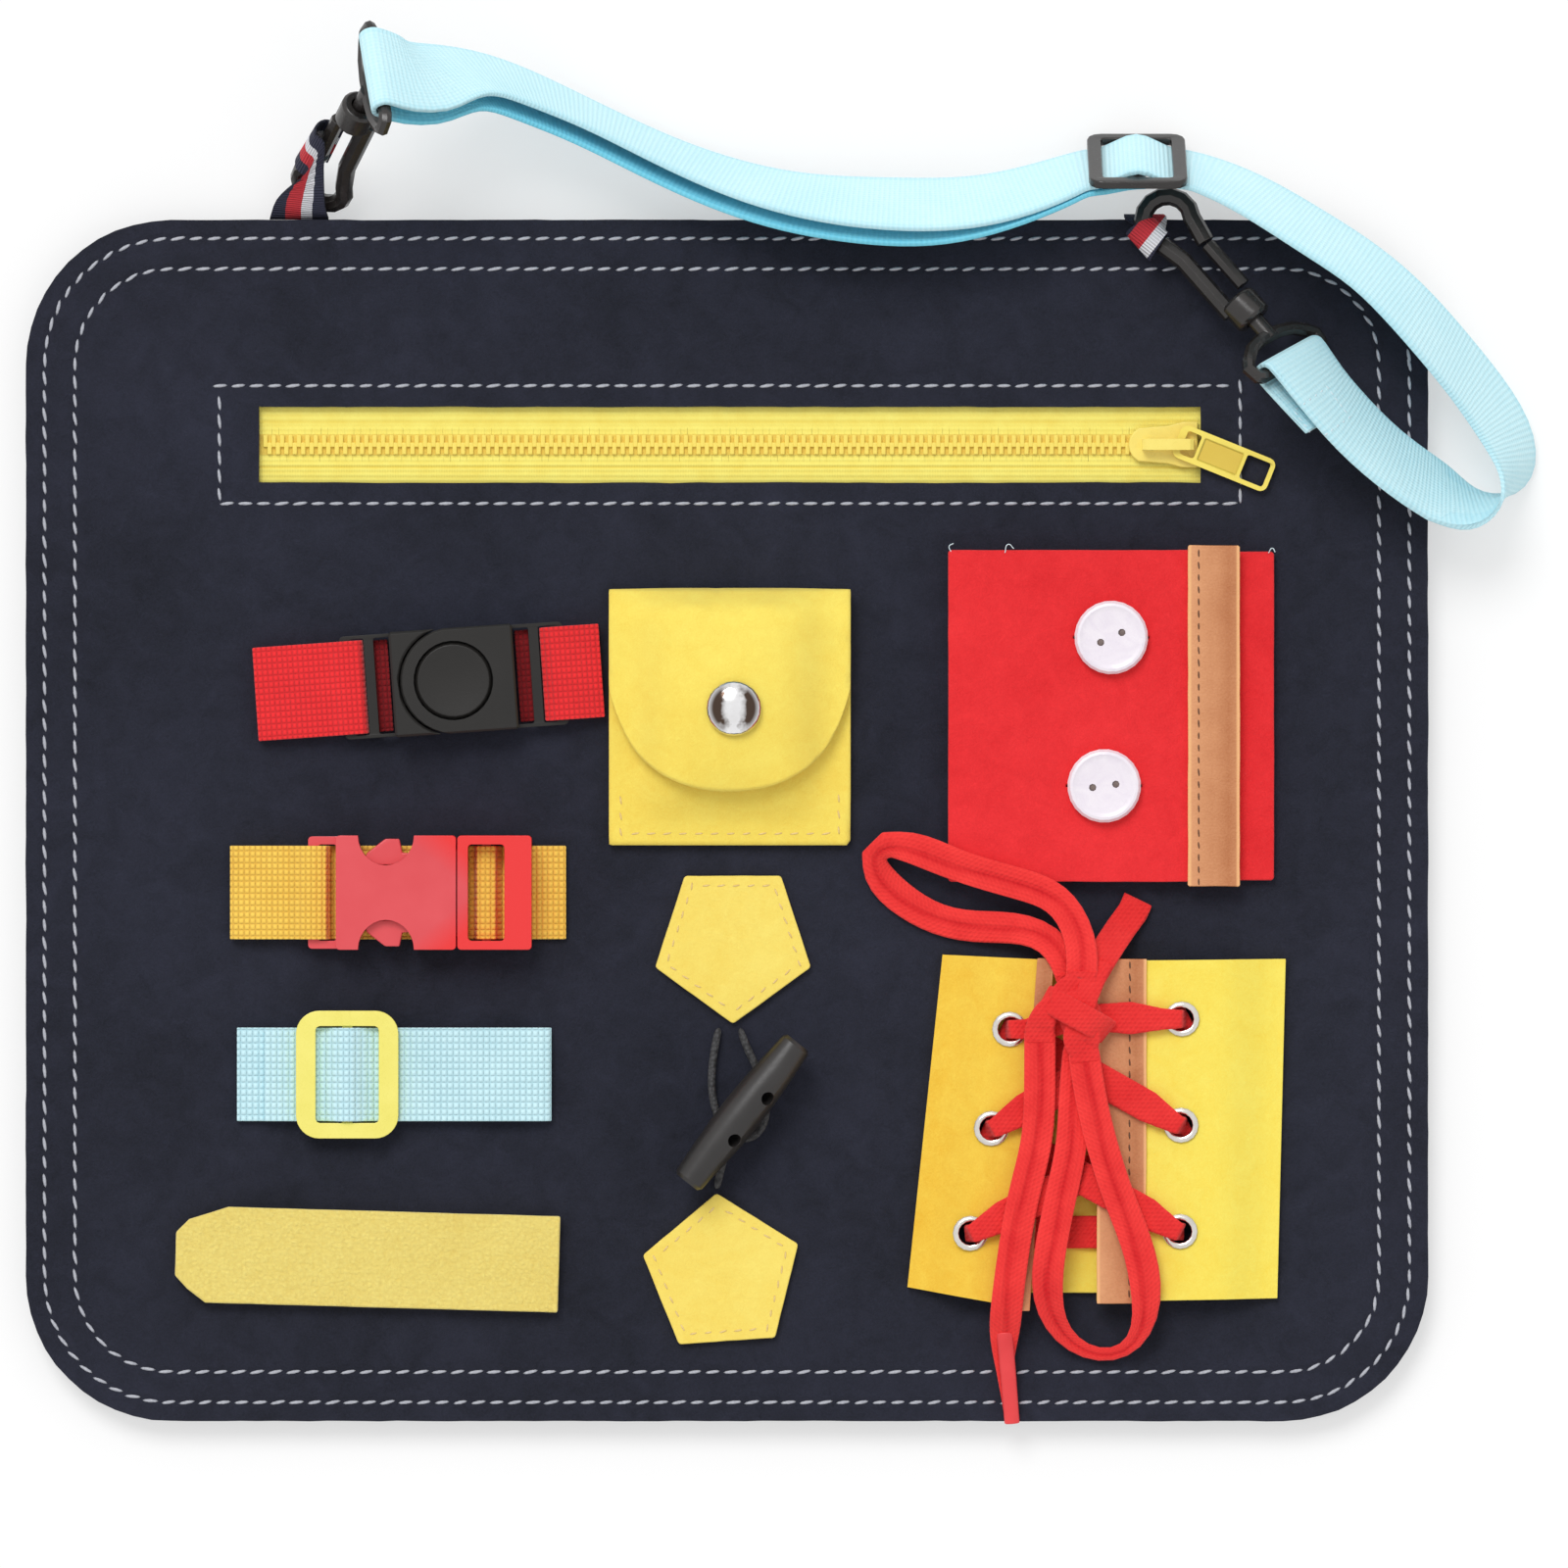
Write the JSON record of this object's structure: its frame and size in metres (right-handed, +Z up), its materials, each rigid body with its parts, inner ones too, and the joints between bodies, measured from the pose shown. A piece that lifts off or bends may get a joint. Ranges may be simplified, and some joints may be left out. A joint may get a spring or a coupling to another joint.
{
  "type": "felt dressing skills board",
  "caption": "Felt learning board for dressing skills: zip, release buckles, webbing slide, hook-and-loop strap, snap pocket, toggle, button panel, laced panel and clip-on carry strap.",
  "frame": {"origin": "middle of the board's back face, which lies on the table", "axes": "+X to the right and +Y towards the carry strap, as seen with the board face up; +Z up out of its face"},
  "size_m": [0.327, 0.2994, 0.0458],
  "materials": {
    "navy_felt": "felt",
    "zip_yellow": "woven zip tape with moulded teeth",
    "zip_slider": "enamel",
    "zip_pull": "enamel",
    "black_plastic": "satin moulded",
    "red_webbing": "woven",
    "red_plastic": "moulded",
    "yellow_webbing": "woven",
    "slide_yellow": "moulded",
    "blue_webbing": "woven",
    "hook_strip": "hook tape",
    "loop_flap": "loop tape",
    "pocket_felt": "felt",
    "polished_metal": "polished",
    "patch_yellow": "felt",
    "cord_black": "cord",
    "toggle_black": "moulded",
    "felt_red": "felt",
    "tan_edging": "edge binding",
    "button_white": "pearl",
    "felt_yellow": "felt",
    "lace_red": "flat woven",
    "light_blue_webbing": "ribbed woven",
    "striped_ribbon": "grosgrain"
  },
  "bodies": {
    "board": {"back_panel": "navy_felt", "front_panel": "navy_felt", "zip_tape_upper": "zip_yellow", "zip_tape_lower": "zip_yellow", "centre_buckle_housing": "black_plastic", "red_webbing_left": "red_webbing", "red_webbing_right": "red_webbing", "side_buckle_socket": "red_plastic", "yellow_webbing_left": "yellow_webbing", "yellow_webbing_right": "yellow_webbing", "blue_webbing": "blue_webbing", "hook_strip": "hook_strip", "pocket_pouch": "pocket_felt", "snap_stud": "polished_metal", "toggle_patch_upper": "patch_yellow", "toggle_patch_lower": "patch_yellow", "toggle_loop_cord": "cord_black", "toggle_stem_cord": "cord_black", "button_flap_under": "felt_red", "upper_button": "button_white", "lower_button": "button_white", "lacing_tongue": "felt_yellow", "lacing_flap_left": "felt_yellow", "lacing_flap_right": "felt_yellow", "lacing_binding_left": "tan_edging", "lacing_binding_right": "tan_edging", "left_top_eyelet": "polished_metal", "left_middle_eyelet": "polished_metal", "left_bottom_eyelet": "polished_metal", "right_top_eyelet": "polished_metal", "right_middle_eyelet": "polished_metal", "right_bottom_eyelet": "polished_metal", "lace_crossings": "lace_red", "lace_loop_left": "lace_red", "lace_loop_lower": "lace_red", "lace_tail_lower": "lace_red", "snap_hook_left": "black_plastic", "snap_hook_right": "black_plastic", "carry_strap": "light_blue_webbing", "ribbon_loop_left": "striped_ribbon", "ribbon_loop_right": "striped_ribbon"},
    "zip_slider": {"zip_slider": "zip_slider"},
    "zip_pull": {"zip_pull": "zip_pull"},
    "centre_tongue": {"centre_buckle_tongue": "black_plastic"},
    "centre_button": {"centre_buckle_button": "black_plastic"},
    "side_plug": {"side_buckle_plug": "red_plastic"},
    "side_arm_upper": {"side_buckle_arm_upper": "red_plastic"},
    "side_arm_lower": {"side_buckle_arm_lower": "red_plastic"},
    "webbing_slide": {"webbing_slide": "slide_yellow"},
    "loop_flap": {"loop_flap": "loop_flap"},
    "pocket_flap": {"pocket_flap": "pocket_felt", "snap_cap": "polished_metal"},
    "toggle": {"toggle_bar": "toggle_black"},
    "button_flap": {"button_flap_over": "felt_red", "button_flap_binding": "tan_edging"},
    "hook_gate_left": {"hook_gate_left": "black_plastic"},
    "hook_gate_right": {"hook_gate_right": "black_plastic"},
    "swivel_ring_left": {"swivel_ring_left": "black_plastic"},
    "swivel_ring_right": {"swivel_ring_right": "black_plastic"},
    "strap_slide": {"strap_slide": "black_plastic"}
  },
  "joints": [
    {"name": "zip_slide", "type": "slide", "parent": "board", "child": "zip_slider", "axis": [-1, 0, 0], "range_m": [0, 0.185], "deforming": ["zip_tape_upper", "zip_tape_lower"]},
    {"name": "zip_pull_lift", "type": "hinge", "parent": "zip_slider", "child": "zip_pull", "pos_m": [0.09697, 0.08124, 0.00765], "axis": [-0.3746, -0.9272, 0], "range_deg": [0, 110]},
    {"name": "centre_button_press", "type": "slide", "parent": "board", "child": "centre_button", "axis": [0, 0, -1], "range_m": [0, 0.0016], "stiffness_N_per_m": 400, "springref_m": -0.001},
    {"name": "centre_tongue_release", "type": "slide", "parent": "board", "child": "centre_tongue", "axis": [-0.9976, -0.0698, 0], "range_m": [0, 0.0135], "deforming": ["red_webbing_left"]},
    {"name": "side_plug_release", "type": "slide", "parent": "board", "child": "side_plug", "axis": [1, 0, 0], "range_m": [0, 0.0155], "deforming": ["yellow_webbing_right", "side_buckle_arm_upper", "side_buckle_arm_lower"]},
    {"name": "side_arm_squeeze_upper", "type": "hinge", "parent": "side_plug", "child": "side_arm_upper", "pos_m": [-0.0601, -0.0082, 0.0117], "axis": [0, 0, 1], "range_deg": [0, 9.5], "stiffness_Nm_per_rad": 0.05},
    {"name": "side_arm_squeeze_lower", "type": "hinge", "parent": "side_plug", "child": "side_arm_lower", "pos_m": [-0.0601, -0.0226, 0.0117], "axis": [0, 0, 1], "range_deg": [-9.5, 0], "stiffness_Nm_per_rad": 0.05},
    {"name": "webbing_slide_shift", "type": "slide", "parent": "board", "child": "webbing_slide", "axis": [1, 0, 0], "range_m": [-0.006, 0.028], "deforming": ["blue_webbing"]},
    {"name": "loop_flap_peel", "type": "hinge", "parent": "board", "child": "loop_flap", "pos_m": [-0.0359, -0.0949, 0.0097], "axis": [0.0279, 0.9996, 0], "range_deg": [0, 150]},
    {"name": "pocket_flap_lift", "type": "hinge", "parent": "board", "child": "pocket_flap", "pos_m": [0.0006, 0.049, 0.0086], "axis": [-1, 0, 0], "range_deg": [0, 120]},
    {"name": "toggle_turn", "type": "hinge", "parent": "board", "child": "toggle", "pos_m": [0.0033, -0.0623, 0.0153], "axis": [0, 0, 1], "range_deg": [-60, 60]},
    {"name": "button_flap_lift", "type": "hinge", "parent": "board", "child": "button_flap", "pos_m": [0.0473, 0.02235, 0.0109], "axis": [0, -1, 0], "range_deg": [0, 150], "deforming": ["button_flap_over"]},
    {"name": "hook_gate_left_open", "type": "hinge", "parent": "board", "child": "hook_gate_left", "pos_m": [-0.08298, 0.14898, 0.02233], "axis": [-0.3714, -0.67, 0.6428], "range_deg": [0, 11], "stiffness_Nm_per_rad": 0.01},
    {"name": "hook_gate_right_open", "type": "hinge", "parent": "board", "child": "hook_gate_right", "pos_m": [0.10964, 0.11504, 0.01491], "axis": [-0.1139, 0.131, 0.9848], "range_deg": [0, 11], "stiffness_Nm_per_rad": 0.01},
    {"name": "swivel_left", "type": "hinge", "parent": "board", "child": "swivel_ring_left", "pos_m": [-0.07768, 0.15214, 0.02868], "axis": [0.3116, 0.5622, 0.766], "range_deg": [-30, 30], "deforming": ["carry_strap"]},
    {"name": "swivel_right", "type": "hinge", "parent": "board", "child": "swivel_ring_right", "pos_m": [0.11266, 0.10684, 0.01635], "axis": [0.6461, -0.7432, 0.1737], "range_deg": [0, 45], "deforming": ["carry_strap"]},
    {"name": "strap_slide_shift", "type": "slide", "parent": "board", "child": "strap_slide", "axis": [1, 0, -0.0077], "range_m": [-0.03, 0.006], "deforming": ["carry_strap"]}
  ],
  "couplings": [
    {"joint": "side_arm_squeeze_lower", "follows": "side_arm_squeeze_upper", "ratio": -1}
  ]
}
